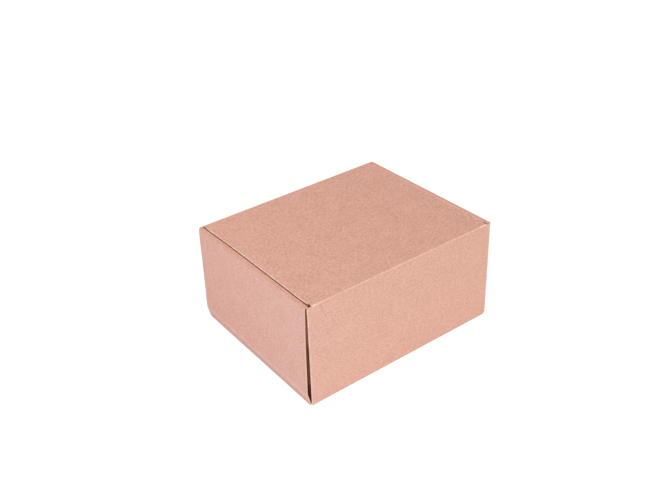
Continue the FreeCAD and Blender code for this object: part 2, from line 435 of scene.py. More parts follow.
class Blank:
    """A folded sheet of board: a net of panels that share their edges. Each of its points keeps
    its outer and inner place, the way out of the board, and its place on the flat sheet."""

    def __init__(self):
        self.net = bmesh.new()
        kept = ("outer", "inner", "outward", "sheet")
        self.layers = [self.net.verts.layers.float_vector.new(name) for name in kept]
        self.rubs_and_highlights = []

    def add(self, axis, profile, outline, lines, cross_lines, on_sheet, rubs_and_highlights, mirror=(1, 1),
            holes=(), bow=None):
        """Adds a panel. Its outline lies in the profile's distance s and the place w along the
        axis, on_sheet gives the place of (s, w) on the flat sheet, and the strengths after it say
        how worn each fold is and how strong its painted highlight is."""
        flat = bmesh.new()
        flat.faces.new([flat.verts.new((p[0], p[1], 0)) for p in outline])
        span = [(min(p[k] for p in outline), max(p[k] for p in outline)) for k in (0, 1)]
        for places, k in ((cross_lines, 1), (lines, 0)):
            way = ((1, 0, 0), (0, 1, 0))[k]
            for place in places:
                if span[k][0] + CLOSE < place < span[k][1] - CLOSE:
                    everything = flat.verts[:] + flat.edges[:] + flat.faces[:]
                    point = [place * c for c in way]
                    bmesh.ops.bisect_plane(flat, geom=everything, dist=0.001, plane_co=point,
                                           plane_no=way)
        for low, high in holes:
            inside = [f for f in flat.faces
                      if all(low[k] < f.calc_center_median()[k] < high[k] for k in (0, 1))]
            bmesh.ops.delete(flat, geom=inside, context="FACES")
        flat.verts.index_update()
        s, w = np.array([v.co[:2] for v in flat.verts]).T
        outer, inner, outward = profile.place(s)
        if bow:
            shift = outward * bow(s, w)[:, None]
            outer, inner = outer + shift, inner + shift
        order = {"x": (2, 0, 1), "y": (0, 2, 1), "z": (0, 1, 2)}[axis]
        turned = np.array((mirror[0], mirror[1], 1))
        kept = [np.column_stack((flat_part, w))[:, order] * turned for flat_part in (outer, inner)]
        kept.append(np.column_stack((outward, w * 0))[:, order] * turned)
        x, y = on_sheet(s, w)
        kept.append(np.column_stack((x * mirror[0], y * mirror[1], s * 0)))
        outward = kept[2]
        made = []
        for values in zip(*kept):
            vert = self.net.verts.new((values[0] + values[1]) / 2)
            for layer, value in zip(self.layers, values):
                vert[layer] = value
            made.append(vert)
        for face in flat.faces:
            corners = [made[v.index] for v in face.verts]
            new = self.net.faces.new(corners)
            new.normal_update()
            if new.normal.dot(Vector(outward[face.verts[0].index])) < 0:
                new.normal_flip()
        flat.free()
        # Each fold gets a pale line: rubbed paper with a painted highlight
        for (low, high), strength in zip(profile.folds, rubs_and_highlights):
            middle = (low + high) / 2
            ends = on_sheet(np.array((middle, middle)), np.array(span[1]))
            self.rub_highlight([e * m for e, m in zip(ends, mirror)], strength)

    def rub_highlight(self, ends, strength=1.0, core=RUB_HIGHLIGHT_CORE, fade=RUB_HIGHLIGHT_FADE, kind=WORN_HIGHLIGHT):
        """Marks a rectangle of the sheet between two corners as strained, or as worn with a painted
        highlight.
        """
        (x0, x1), (y0, y1) = [sorted(e) for e in ends]
        self.rubs_and_highlights.append((x0, x1, y0, y1, strength, core, fade, kind))

    def wear_and_highlight(self, sheet):
        """How worn, with its painted highlight, and how strained each place of the sheet is, from 0
        to 1.
        """
        wear_and_highlight = np.zeros((len(sheet), 3))
        for x0, x1, y0, y1, strength, core, fade, kind in self.rubs_and_highlights:
            dx = np.maximum(np.maximum(x0 - sheet[:, 0], sheet[:, 0] - x1), 0)
            dy = np.maximum(np.maximum(y0 - sheet[:, 1], sheet[:, 1] - y1), 0)
            away = (np.hypot(dx, dy) - core) / fade
            wear_and_highlight[:, kind] = np.maximum(wear_and_highlight[:, kind], strength * np.clip(1 - away, 0, 1))
        return wear_and_highlight

    def joined(self):
        """The net's kept places and its faces, once its panels are joined."""
        bmesh.ops.remove_doubles(self.net, verts=self.net.verts[:], dist=CLOSE / 2)
        self.net.verts.index_update()
        kept = [np.array([v[layer] for v in self.net.verts]) for layer in self.layers]
        faces = [[v.index for v in f.verts] for f in self.net.faces]
        self.net.free()
        return *kept, faces


def ramp(values, low, high):
    """A smooth step from 0 at one value to 1 at another."""
    t = np.clip((values - low) / (high - low), 0, 1)
    return t * t * (3 - 2 * t)


def settle(points, sheet, plan):
    """Moves points a little, as a folded box gives way between its stiff corners."""
    x = np.clip(points[:, 0] / (plan.width / 2), -1, 1)
    y = np.clip(points[:, 1] / (plan.depth / 2), -1, 1)
    z = np.clip(points[:, 2] / plan.height, 0, 1)
    moved = points.copy()

    # The lid sinks, and the front and rear walls bow out
    lid = (1 - x ** 2) * (1 - y ** 2) * (0.8 + 0.2 * np.sin(2.1 * x + 0.7) * np.cos(1.7 * y))
    moved[:, 2] -= plan.lid_sink * z ** 3 * lid
    wall = (1 - x ** 2) * np.sin(math.pi * z) * (0.7 + 0.3 * np.sin(3.1 * x - 0.4))
    moved[:, 1] -= plan.wall_bow * y * wall

    # One corner flap springs in, and the outer panel's end beside it is drawn back
    near = (points[:, 0] > 0) & (points[:, 1] > 0)
    near = near * ramp(points[:, 2], plan.half, plan.sprung_foot)
    flap = near * (sheet[:, 1] > plan.wall_start) * ramp(points[:, 0], plan.lid_edge, plan.upright)
    sprung = flap * (1 - (1 - plan.sprung_rest) * ramp(z, *plan.sprung_top))
    moved[:, 0] -= np.interp(points[:, 1], plan.sprung_places, plan.sprung_depths) * sprung
    wall = near * (sheet[:, 1] < plan.wall_start) * (points[:, 0] > plan.inner_panel)
    wall = wall * ramp(y, *plan.end_draw_along) * ramp(z, *plan.end_draw_up)
    moved[:, 1] -= plan.end_draw * wall

    # Low down the flap pushes in the inner panel's end too
    pushed = np.maximum(flap, near * (sheet[:, 0] > plan.panel_start))
    fade = [plan.dust_foot - below for below in plan.pushed_top]
    pushed = pushed * (1 - ramp(points[:, 2], *fade))
    moved[:, 0] -= np.interp(points[:, 1], plan.pushed_places, plan.pushed_depths) * pushed

    # The lid lies nearer to the -X wall, and its side flaps lie inside its edges
    wide = ramp(-points[:, 0], plan.lid_edge - plan.widening_reach, plan.lid_edge)
    wide = wide * (sheet[:, 1] > plan.lid_start)
    wide = wide * (1 - ramp(points[:, 1], plan.dust_rear, plan.seam_depth))
    moved[:, 0] -= plan.lid_widening * wide
    inside = plan.lid_edge - plan.undercut_reach
    flaps = (np.abs(sheet[:, 0]) > inside) & (sheet[:, 1] > plan.lid_start)
    flaps = flaps & (points[:, 1] > plan.dust_front - 10 * CLOSE)
    under = flaps * ramp(plan.height - points[:, 2], *plan.undercut_down)
    under = under * ramp(np.abs(points[:, 0]), inside, plan.lid_edge)
    moved[:, 0] -= np.sign(points[:, 0]) * plan.undercut * under

    # The +X wall's top leans out toward its front end
    flare = ramp(points[:, 0], plan.flare_start, plan.inner_panel) * ramp(z, *plan.flare_up)
    flare = flare * np.clip(-y * 1.25 - 0.25, 0, 1) ** 1.5
    moved[:, 0] += plan.flare * flare
    return moved


def cut_edges(faces):
    """The edges round the cut sheet, each with its panel on its left, and the point before each."""
    used = dict.fromkeys((a, b) for face in faces for a, b in zip(face, face[1:] + face[:1]))
    edges = [(a, b) for a, b in used if (b, a) not in used]
    if len(dict(edges)) != len(edges):
        raise RuntimeError("the cut edges of the sheet touch at a point")
    return edges, {b: a for a, b in edges}


def thicken(blank, plan, make, seams):
    """Gives a joined net its thickness. At a cut edge the two liners stand free of the fluting, and
    at a seam, where another piece goes on, the end is flat. Returns the mesh's points, faces,
    kinds of face, sheet places, wear with its painted highlights, and the rim that the fluting
    follows."""
    outer, inner, outward, sheet, faces = blank.joined()
    seam = seams(plan, outer)
    outer, inner = settle(outer, sheet, plan), settle(inner, sheet, plan)
    middle = (outer + inner) / 2
    wear_and_highlight = blank.wear_and_highlight(sheet)
    liner = make.liner / MM / plan.board
    count = len(outer)
    edges, previous = cut_edges(faces)

    # Each cut edge's way into the board, and how deep its fluting lies where it crosses the flutes
    into, depth = {}, {}
    for a, b in edges:
        way = np.cross(outward[a] + outward[b], middle[b] - middle[a])
        into[a] = way / np.linalg.norm(way)
        across = abs(sheet[b][1] - sheet[a][1]) / max(np.linalg.norm(sheet[b] - sheet[a]), 1e-6)
        depth[a] = (make.cut_depth * across + make.rough_depth * (1 - across)) / MM

    points = [*outer, *inner]
    places = [*(sheet + (0, 0, plan.half)), *(sheet - (0, 0, plan.half))]
    marks = [*wear_and_highlight, *wear_and_highlight]

    def add(vert, level, shift):
        """Adds a point at the inner side of one of the liners, and says its number."""
        share = liner if level > 0 else 1 - liner
        points.append(outer[vert] * (1 - share) + inner[vert] * share + shift)
        places.append(sheet[vert] + (0, 0, plan.half * (1 - 2 * share)))
        marks.append(wear_and_highlight[vert])
        return len(points) - 1

    # Rings of points over the board's thickness at its cut edges
    rings, insets = {}, {}
    for a, b in edges:
        turned = into[previous[a]] + into[a]
        insets[a] = turned / max(np.dot(turned, turned) / 2, 0.5)
        cut = (depth[a] + depth[previous[a]]) / 2
        top, bottom = (add(a, level, np.zeros(3)) for level in (1, -1))
        if seam[a] and (seam[b] or seam[previous[a]]):
            rings[a] = [a, top, top, bottom, bottom, a + count]
        else:
            deep = [add(a, level, insets[a] * cut) for level in (1, -1)]
            rings[a] = [a, top, *deep, bottom, a + count]

    solid = [list(f) for f in faces] + [[v + count for v in reversed(f)] for f in faces]
    kinds = [OUTSIDE] * len(faces) + [INSIDE] * len(faces)
    for a, b in edges:
        for k in range(len(rings[a]) - 1):
            corners = [rings[a][k], rings[a][k + 1], rings[b][k + 1], rings[b][k]]
            corners = [c for i, c in enumerate(corners) if c != corners[i - 1]]
            if len(corners) > 2:
                solid.append(corners)
                kinds.append(CUT)

    # The fluting is seen where a cut crosses it, and not where it runs along
    deep_cut = make.cut_depth / MM
    cuts = [(a, b) for a, b in edges
            if not (seam[a] and seam[b]) and depth[a] > deep_cut * SEEN_CUT]
    names = sorted({v for e in cuts for v in e})
    number = {v: i for i, v in enumerate(names)}
    rim = {
        "points": np.array([middle[v] + insets[v] * (RIM_GAP + deep_cut / 2) for v in names]),
        "into": np.array([insets[v] for v in names]),
        "outward": outward[names],
        "sheet": sheet[names] * MM,
        "edges": [(number[a], number[b]) for a, b in cuts],
    }
    return np.array(points), solid, kinds, np.array(places), np.array(marks), rim


def centre_shift():
    """How far the lid's middle lies off the middle of the box's outline, in millimetres."""
    low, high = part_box("lid")
    return (low.x + high.x) / 2 / MM


def linked(name, data):
    """A new object in the scene."""
    made = bpy.data.objects.new(name, data)
    bpy.context.scene.collection.objects.link(made)
    return made


def placed_mesh(name, points, edges, faces):
    """A mesh through points in millimetres, moved so that the box's outline is centred."""
    mesh = bpy.data.meshes.new(name)
    shifted = np.array(points) + (centre_shift(), 0, 0)
    mesh.from_pydata([tuple(p) for p in shifted * MM], edges, faces)
    return mesh


def vector_layer(mesh, name, values):
    """Stores a vector for each point of a mesh."""
    layer = mesh.attributes.new(name, "FLOAT_VECTOR", "POINT")
    layer.data.foreach_set("vector", np.asarray(values, np.float32).ravel())


def board_piece(name, shape, materials):
    """A mesh object of board, in metres, with its sheet places, and its wear with painted
    highlights, stored on it.
    """
    points, faces, kinds, places, wear_and_highlight, _ = shape
    mesh = placed_mesh(name, points, [], faces)
    mesh.polygons.foreach_set("material_index", kinds)
    vector_layer(mesh, "sheet", places * MM)
    vector_layer(mesh, "wear_and_highlight", wear_and_highlight)
    for material in materials:
        mesh.materials.append(material)
    mesh.shade_smooth()
    mesh.set_sharp_from_angle(angle=math.radians(35))
    if mesh.validate():
        raise RuntimeError(name + " has bad faces")
    return linked(name, mesh)


def mirrored_outline(points):
    """The outline on the w > 0 side, and its mirror image, as one closed loop."""
    return rounded(points + [(s, -w, *radius) for s, w, *radius in reversed(points)])


def add_column(blank, plan, foot_half):
    """Adds the front wall, the floor with its four slots and the rear wall."""
    column, upright, edge = plan.column, plan.upright, plan.floor_edge
    rear = [column.on(2, plan.wall_face, z) for z in (plan.seam_height, plan.corner_top)]
    feet = [column.on(1, y, 0) for y in (foot_half, -foot_half)]
    outline = mirrored_outline([
        (rear[0], plan.lid_edge), (rear[1], plan.lid_edge), (rear[1], upright),
        (feet[0], upright), (feet[0], edge), (feet[1], edge), (feet[1], upright),
        (0, upright)])
    lines = [column.on(0, -plan.wall_face, z) for z in plan.up if z > plan.fold]
    lines += [column.on(2, plan.wall_face, z) for z in plan.up if z > plan.fold]
    lines += [column.on(1, y, 0) for y in plan.along if abs(y) < foot_half]
    lines += [column.on(1, side * (foot_half + 5 * CLOSE), 0) for side in (-1, 1)]
    lines += column.fold_lines()
    middle = column.on(1, 0, 0)
    sides = (plan.inner_panel - plan.slot_play, plan.inner_panel + plan.board + plan.slot_play)
    slots = []
    for end in (-1, 1):
        for side in (-1, 1):
            ys = sorted(middle + end * y for y in plan.slot)
            slots.append(tuple(zip(ys, sorted(side * x for x in sides))))
    blank.add("x", column, outline, lines, plan.across, lambda s, w: (w, s - middle),
              (FLOOR_RUB_HIGHLIGHT, FLOOR_RUB_HIGHLIGHT), holes=slots)


def add_corner_flaps(blank, plan):
    """Adds the four upright folds and the flaps that the side walls trap."""
    upright = plan.upright
    corner = plan.strip([(plan.flap_face, plan.flap_end), (plan.flap_face, plan.wall_face),
                         (upright, plan.wall_face)], [plan.sharpness])
    low, high = plan.flap_foot, plan.flap_top
    end, turn = corner.length, corner.on(0, plan.flap_face, plan.fold_line)
    for mirror in ((1, 1), (-1, 1), (1, -1), (-1, -1)):
        top = plan.corner_top if mirror[1] > 0 else plan.front_top
        outline = rounded([
            (end, plan.upright_foot), (end, top), (turn, top), (turn, high),
            (0, high - plan.flap_taper, plan.flap_corner),
            (0, low + plan.flap_taper, plan.flap_corner), (turn, low), (turn, plan.upright_foot)])
        blank.add("z", corner, outline, corner.lines(), plan.up,
                  lambda s, w: (upright + end - s, plan.wall_start + w), (UPRIGHT_RUB_HIGHLIGHT,),
                  mirror=mirror)


def add_side(blank, plan, foot_half, side, bulge, swell, drop, panel_end, press_rub_highlight):
    """Adds a doubled side wall: outer panel, rolled top, inner panel and locking tabs. It stands
    out at its extra crease by bulge, bows by swell and lies below the lid by drop. Its inner panel
    stops at panel_end."""
    edge, tab, corner = plan.floor_edge, plan.tab, plan.tab_corner
    outer_half = plan.wall_face - plan.side_end_gap
    inner_half = plan.wall_inside - plan.panel_end_gap
    heel_half = inner_half - plan.panel_heel
    top = plan.height - drop
    band = plan.strip([
        (edge, 0), (plan.foot, 0), (plan.outer_panel + bulge, plan.kink_height),
        (plan.outer_panel, top), (plan.inner_panel, top), (plan.inner_panel, plan.tab_recess)],
        [plan.sharpness, plan.kink_radius, plan.sharpness, plan.lip])
    shoulder = band.folds[2][1]
    hem, brow, heel = [band.on(4, plan.inner_panel, z) for z in (
        plan.board + plan.panel_foot_gap, plan.flap_top, plan.flap_foot - plan.panel_foot_gap)]
    outline = mirrored_outline([
        (0, foot_half), (band.at_height(2, plan.flap_top), outer_half), (shoulder, outer_half),
        (shoulder, inner_half), (brow, inner_half), (brow + plan.panel_step, panel_end),
        (heel, panel_end), (heel, heel_half), (hem, heel_half), (hem, tab[1]),
        (band.length, tab[1], corner), (band.length, tab[0], corner), (hem, tab[0])])
    press = band.at_height(1, plan.press_height)
    lines = spread(band.lines(), [press + beside for beside in plan.press_lines],
                   clear=0.6)
    low, high = band.folds[1][1], band.folds[2][0]

    def bow(s, w):
        t = np.clip((s - low) / (high - low), 0, 1)
        return swell * np.sin(math.pi * t) ** 0.8

    blank.add("y", band, outline, lines, plan.along, lambda s, w: (edge + s, w), SIDE_RUB_HIGHLIGHTS,
              mirror=(side, 1), bow=bow)
    rolled = [side * (edge + s) for s in (high - 0.8, band.folds[3][1])]
    blank.rub_highlight((rolled, (-outer_half, outer_half)), 0.8, core=0.2, fade=0.6, kind=STRAINED)
    # The pressed line low on the side wall is a pale band: pressed paper with a painted highlight
    place = side * (edge + press)
    blank.rub_highlight(((place, place), (-foot_half, foot_half)), press_rub_highlight, *plan.press_rub_highlight)


def tray_blank(plan):
    """The floor, the walls, the corner flaps and the doubled sides."""
    blank = Blank()
    foot_half = plan.wall_face - plan.side_foot_gap
    add_column(blank, plan, foot_half)
    add_corner_flaps(blank, plan)
    add_side(blank, plan, foot_half, 1, plan.right_bulge, plan.right_bow, plan.right_drop,
             plan.sprung_end, plan.right_press)
    add_side(blank, plan, foot_half, -1, plan.left_bulge, 0.0, plan.left_drop,
             plan.wall_inside - plan.panel_end_gap, plan.left_press)
    return blank


def lid_blank(plan):
    """The lid panel, its tuck flap and its two dust flaps."""
    blank = Blank()
    half = plan.lid_edge
    strip = plan.strip([(plan.seam_depth, plan.height), (plan.tuck_crease, plan.height),
                        (plan.tuck_foot, plan.height - plan.tuck_depth)], [plan.sharpness])
    bend = strip.folds[0]
    tuck_half = half - plan.tuck_end_gap
    dust_rear, dust_front = plan.dust_rear, plan.dust_front
    slit, brim = strip.on(0, dust_front - plan.slit, plan.height), plan.dust_face - plan.slit
    outline = mirrored_outline([
        (0, half), (slit, half), (slit, brim), (bend[1], brim, plan.lid_corner),
        (bend[1], tuck_half), (strip.length, tuck_half - plan.tuck_taper, plan.tuck_corner)])
    along = spread(plan.along, [dust_rear, dust_front], clear=0.4)

    # The panel's own lines go on to the fold, and from there the strip's lines take over
    lines = [strip.on(0, y, plan.height) for y in along]
    lines = [s for s in lines if s < bend[0] - 0.4] + [s for s in strip.lines() if s > bend[0] - 3]
    start = plan.lid_start
    blank.add("x", strip, outline, sorted(lines), plan.across, lambda s, w: (w, start + s),
              (TUCK_RUB_HIGHLIGHT,))

    flap = plan.strip([(plan.dust_face, plan.height - plan.dust_depth),
                       (plan.dust_face, plan.height), (half, plan.height)], [plan.lip])
    end, turn = flap.length, flap.on(0, plan.dust_face, plan.crease_top)
    outline = rounded([
        (end, dust_front), (end, dust_rear), (turn, dust_rear),
        (0, dust_rear - plan.dust_taper, plan.dust_corner),
        (0, dust_front + plan.dust_taper, plan.dust_corner), (turn, dust_front)])
    for side in (-1, 1):
        blank.add("y", flap, outline, flap.lines(), along,
                  lambda s, w: (half + end - s, start + plan.seam_depth - w), (DUST_RUB_HIGHLIGHT,),
                  mirror=(side, 1))
    return blank


def crease_blank(plan):
    """The strip of board round the crease between the rear wall and the lid."""
    blank = Blank()
    bend = plan.hinge
    half = plan.lid_edge
    outline = rounded([(0, -half), (0, half), (bend.length, half), (bend.length, -half)])
    start = plan.hinge_start
    blank.add("x", bend, outline, bend.lines(1.0), plan.across, lambda s, w: (w, start + s),
              (HINGE_RUB_HIGHLIGHT,))
    middle = start + sum(bend.folds[0]) / 2
    # The ends of the lid's crease get the strongest rubbed line, with a painted highlight
    for side in (-1, 1):
        blank.rub_highlight(((side * (half - plan.worn_highlight_end), side * half), (middle, middle)), 1.0)
    strain = [start + s for s in plan.crease_strain]
    blank.rub_highlight(((-half, half), strain), 0.6, core=0.1, fade=0.7, kind=STRAINED)
    return blank


class Graph:
    """Adds nodes to a tree and joins them."""

    def __init__(self, tree):
        self.tree = tree

    def add(self, kind, inputs=None, **settings):
        """Adds a node. Its inputs are values, or other nodes' outputs."""
        node = self.tree.nodes.new(kind)
        for key, value in settings.items():
            setattr(node, key, value)
        self.feed(node, inputs or {})
        return node

    def feed(self, node, inputs):
        """Sets or links a node's inputs."""
        for key, value in inputs.items():
            if isinstance(value, bpy.types.NodeSocket):
                self.tree.links.new(value, node.inputs[key])
            else:
                node.inputs[key].default_value = value

    def first(self, kind, inputs=None, **settings):
        """Adds a node and gives its first output."""
        return self.add(kind, inputs, **settings).outputs[0]

    def noise(self, vector, scale, detail, roughness):
        """A noise texture's value, in features per metre."""
        return self.first("ShaderNodeTexNoise", {"Vector": vector, "Scale": scale,
                                                 "Detail": detail, "Roughness": roughness})

    def math(self, operation, first, second=0.5, third=0.0):
        """The result of arithmetic on up to three values."""
        return self.first("ShaderNodeMath", {0: first, 1: second, 2: third}, operation=operation)


class Recipe(Graph):
    """The nodes of a new material."""

    def __init__(self, name):
        self.material = bpy.data.materials.new(name)
        self.material.use_nodes = True
        super().__init__(self.material.node_tree)
        self.shader = self.tree.nodes["Principled BSDF"]

    def stored(self, name):
        """A vector that is stored on the mesh."""
        return self.add("ShaderNodeAttribute", attribute_name=name).outputs["Vector"]

    def mix(self, factor, first, second, blend="MIX"):
        """A colour between two colours."""
        made = self.add("ShaderNodeMix", {0: factor, 6: first, 7: second}, data_type="RGBA",
                        blend_type=blend)
        return made.outputs[2]

    def levels(self, value, low, high, start=0.0):
        """A value that rises from start at low to 1 at high."""
        return self.first("ShaderNodeMapRange", {"Value": value, "From Min": low,
                                                 "From Max": high, "To Min": start})


def shade(colour, factor):
    """The colour made lighter or darker, with its alpha."""
    return (*[min(c * factor, 1.0) for c in colour], 1.0)


# How strongly the paper's mottle shows in red, green and blue, and the colour that strain adds
SPECKLE = (0.5, 0.88, 1.0)
STRAIN = (1.0, 0.94, 0.88)


def liner_paper(name, base, rubbed_highlight, mottle, wear_and_highlight):
    """Kraft liner: mottled pulp, short fibres, and paler along its folds, partly rubbed paper and
    partly a painted highlight.
    """
    recipe = Recipe(name)
    sheet = recipe.stored("sheet")
    worn_highlight, strained = recipe.add("ShaderNodeSeparateXYZ", {0: recipe.stored("wear_and_highlight")}).outputs[:2]
    stretched = recipe.first("ShaderNodeMapping", {"Vector": sheet, "Scale": (0.22, 1.0, 1.0)})
    pulp = recipe.noise(sheet, 400.0, 4.0, 0.75)
    cloud = recipe.noise(sheet, 45.0, 2.0, 0.5)
    fibre = recipe.noise(stretched, 1500.0, 2.0, 0.6)
    grain = recipe.noise(sheet, 820.0, 2.0, 0.6)

    tone = recipe.math("MULTIPLY_ADD", grain, 1.5, -0.25)
    for noise, share in ((pulp, 0.45), (fibre, 0.3), (cloud, 0.15)):
        tone = recipe.math("ADD", tone, recipe.math("MULTIPLY_ADD", noise, share, -share / 2))
    dark, light = [[c * (1 + side * mottle * share) for c, share in zip(base, SPECKLE)]
                   for side in (-1, 1)]
    paper = recipe.mix(tone, shade(dark, 1.0), shade(light, 1.0))
    paper = recipe.mix(strained, paper, shade(STRAIN, 1.0), "MULTIPLY")

    # A painted highlight along the folds, broken up by noise, over paper that is partly rubbed
    # there too
    broken = recipe.levels(recipe.noise(sheet, 210.0, 2.0, 0.6), 0.36, 0.6, 0.35)
    rub_highlight = recipe.math("MULTIPLY", worn_highlight, broken)
    rub_highlight = recipe.math("MULTIPLY", rub_highlight, wear_and_highlight)
    paper = recipe.mix(rub_highlight, paper, shade(rubbed_highlight, 1.0))

    relief = recipe.math("MULTIPLY_ADD", fibre, 0.6, recipe.math("MULTIPLY", pulp, 0.8))
    bump = recipe.first("ShaderNodeBump", {"Height": relief, "Strength": 0.35, "Distance": 0.00006})
    gloss = recipe.math("MULTIPLY_ADD", fibre, 0.14, 0.76)
    recipe.feed(recipe.shader, {"Base Color": paper, "Roughness": gloss, "Specular IOR Level": 0.22,
                                "Normal": bump})
    return recipe.material


def cut_paper(name, base, scale):
    """The rough cut edge of paper, or the fluting between the liners."""
    recipe = Recipe(name)
    pulp = recipe.noise(recipe.stored("sheet"), scale, 3.0, 0.65)
    paper = recipe.mix(recipe.levels(pulp, 0.3, 0.7), shade(base, 0.82), shade(base, 1.14))
    bump = recipe.first("ShaderNodeBump", {"Height": pulp, "Strength": 0.7, "Distance": 0.0001})
    recipe.feed(recipe.shader, {"Base Color": paper, "Roughness": 0.9, "Specular IOR Level": 0.15,
                                "Normal": bump})
    return recipe.material


def papers(context):
    """The board's papers, made once."""
    made = {m.name: m for m in bpy.data.materials}
    if "outer_liner" not in made:
        make = context.scene.board_make
        made["outer_liner"] = liner_paper("outer_liner", make.outer, make.rubbed_highlight, 0.4, 0.9)
        made["lid_liner"] = liner_paper("lid_liner", make.outer, make.rubbed_highlight, 0.56, 0.9)
        made["inner_liner"] = liner_paper("inner_liner", make.inner, make.rubbed_highlight, 0.3, 0.45)
        made["cut_edge"] = cut_paper("cut_edge", make.cut, 1500.0)
        made["fluting"] = cut_paper("fluting", make.fluting, 900.0)
        made["torn_paper"] = cut_paper("torn_paper", make.torn, 1200.0)
    return made


def fluting_tree():
    """Nodes that run a wavy ribbon of paper along the cut edges of the board."""
    tree = bpy.data.node_groups.new("Fluting", "GeometryNodeTree")
    face = tree.interface
    face.new_socket("Geometry", in_out="INPUT", socket_type="NodeSocketGeometry")
    for name in ("Pitch", "Rise", "Thickness", "Breadth", "Step"):
        face.new_socket(name, in_out="INPUT", socket_type="NodeSocketFloat")
    face.new_socket("Material", in_out="INPUT", socket_type="NodeSocketMaterial")
    face.new_socket("Geometry", in_out="OUTPUT", socket_type="NodeSocketGeometry")

    graph = Graph(tree)
    given = graph.add("NodeGroupInput").outputs
    line = graph.first("GeometryNodeMeshToCurve", {"Mesh": given["Geometry"]})
    line = graph.first("GeometryNodeResampleCurve", {"Curve": line, "Length": given["Step"]},
                       mode="LENGTH")
    outward, inward, sheet = [
        graph.first("GeometryNodeInputNamedAttribute", {"Name": name}, data_type="FLOAT_VECTOR")
        for name in ("outward", "into", "sheet")]

    # The wave runs along the sheet, so that neighbouring edges agree, and is a little uneven
    place = graph.add("ShaderNodeSeparateXYZ", {0: sheet}).outputs["Y"]
    cycles = graph.math("DIVIDE", place, given["Pitch"])
    cycles = graph.math("ADD", cycles, graph.noise(sheet, 40.0, 1.0, 0.5))
    wave = graph.math("SINE", graph.math("MULTIPLY", cycles, 2 * math.pi))
    rise = graph.math("MULTIPLY", wave, given["Rise"])
    offset = graph.first("ShaderNodeVectorMath", {0: outward, "Scale": rise}, operation="SCALE")
    line = graph.first("GeometryNodeSetPosition", {"Geometry": line, "Offset": offset})
    line = graph.first("GeometryNodeSetCurveNormal", {"Curve": line, "Normal": inward},
                       mode="FREE")
    section = graph.first("GeometryNodeCurvePrimitiveQuadrilateral", {
        "Width": given["Breadth"], "Height": given["Thickness"]})
    ribbon = graph.first("GeometryNodeCurveToMesh", {"Curve": line, "Profile Curve": section,
                                                     "Fill Caps": True})
    ribbon = graph.first("GeometryNodeRealizeInstances", {"Geometry": ribbon})
    ribbon = graph.first("GeometryNodeSetMaterial", {"Geometry": ribbon,
                                                     "Material": given["Material"]})
    graph.add("NodeGroupOutput", {0: ribbon})
    return tree


def fluting_piece(name, rim, plan, context):
    """The fluting seen at the cut edges of one body, as a plain mesh."""
    make = context.scene.board_make
    mesh = placed_mesh(name + "_line", rim["points"], rim["edges"], [])
    for layer in ("sheet", "outward", "into"):
        vector_layer(mesh, layer, rim[layer])
    guide = linked(name + "_line", mesh)
    tree = bpy.data.node_groups.get("Fluting") or fluting_tree()
    modifier = guide.modifiers.new("Fluting", "NODES")
    modifier.node_group = tree
    rise = (plan.half * MM - make.liner) - make.medium / 2
    values = {"Pitch": make.flute_pitch, "Rise": rise, "Thickness": make.medium,
              "Breadth": make.cut_depth, "Step": make.flute_step,
              "Material": papers(context)["fluting"]}
    for socket in tree.interface.items_tree:
        if socket.in_out == "INPUT" and socket.name in values:
            modifier[socket.identifier] = values[socket.name]
    context.view_layer.update()
    ready = guide.evaluated_get(context.evaluated_depsgraph_get())
    result = bpy.data.meshes.new_from_object(ready)
    result.name = name
    guide.modifiers.clear()
    bpy.data.objects.remove(guide)
    return linked(name, result)


def shred_piece(name, plan, material):
    """Torn bits of the liner that stand up beside the sprung corner."""
    rng = np.random.default_rng(4)
    points, faces = [], []
    count = plan.shred_corners
    for place, facing, size in plan.shreds:
        normal = Vector(facing).normalized()
        side = normal.orthogonal().normalized()
        up = normal.cross(side)
        low, high = len(points), len(points) + count + 1
        reaches = [size * rng.uniform(0.55, 1.0) for _ in range(count)]
        for level in (-0.5, 0.5):
            points.append(Vector(place) + normal * level * plan.shred_thickness)
            for k, reach in enumerate(reaches):
                turn = 2 * math.pi * k / count
                curl = plan.shred_curl * math.cos(2 * turn) * reach
                points.append(Vector(place) + (side * math.cos(turn) + up * math.sin(turn)) * reach
                              + normal * (level * plan.shred_thickness + curl))
        for k in range(count):
            a, b = 1 + k, 1 + (k + 1) % count
            faces += [(low, low + b, low + a), (high, high + a, high + b),
                      (low + a, low + b, high + b, high + a)]
    mesh = placed_mesh(name, points, [], faces)
    vector_layer(mesh, "sheet", np.array(points) * MM)
    mesh.materials.append(material)
    return linked(name, mesh)


def tray_seam(plan, points):
    """Says which points of the tray's net lie where the lid's crease goes on."""
    x, y, z = points.T
    return (np.abs(y - plan.wall_face) < CLOSE) & (z > plan.seam_height - CLOSE) & (
        np.abs(x) < plan.lid_edge + CLOSE)


def lid_seam(plan, points):
    """Says which points of the lid's net lie where its crease goes on."""
    return (np.abs(points[:, 1] - plan.seam_depth) < CLOSE) & (points[:, 2] > plan.crease_top)


def crease_seam(plan, points):
    """Says which points of the crease's net lie at the tray or at the lid."""
    return (points[:, 2] < plan.seam_height + CLOSE) | (points[:, 1] < plan.seam_depth + CLOSE)


def folded(name, blank, seams, outside, context):
    """Folds a body's sheet into a piece, and gives the plan and the rim of its cut edges too."""
    plan = Plan(context.scene.box_sizes)
    made = papers(context)
    shape = thicken(blank(plan), plan, context.scene.board_make, seams)
    piece = board_piece(name, shape, [made[outside], made["inner_liner"], made["cut_edge"]])
    return piece, plan, shape[5]


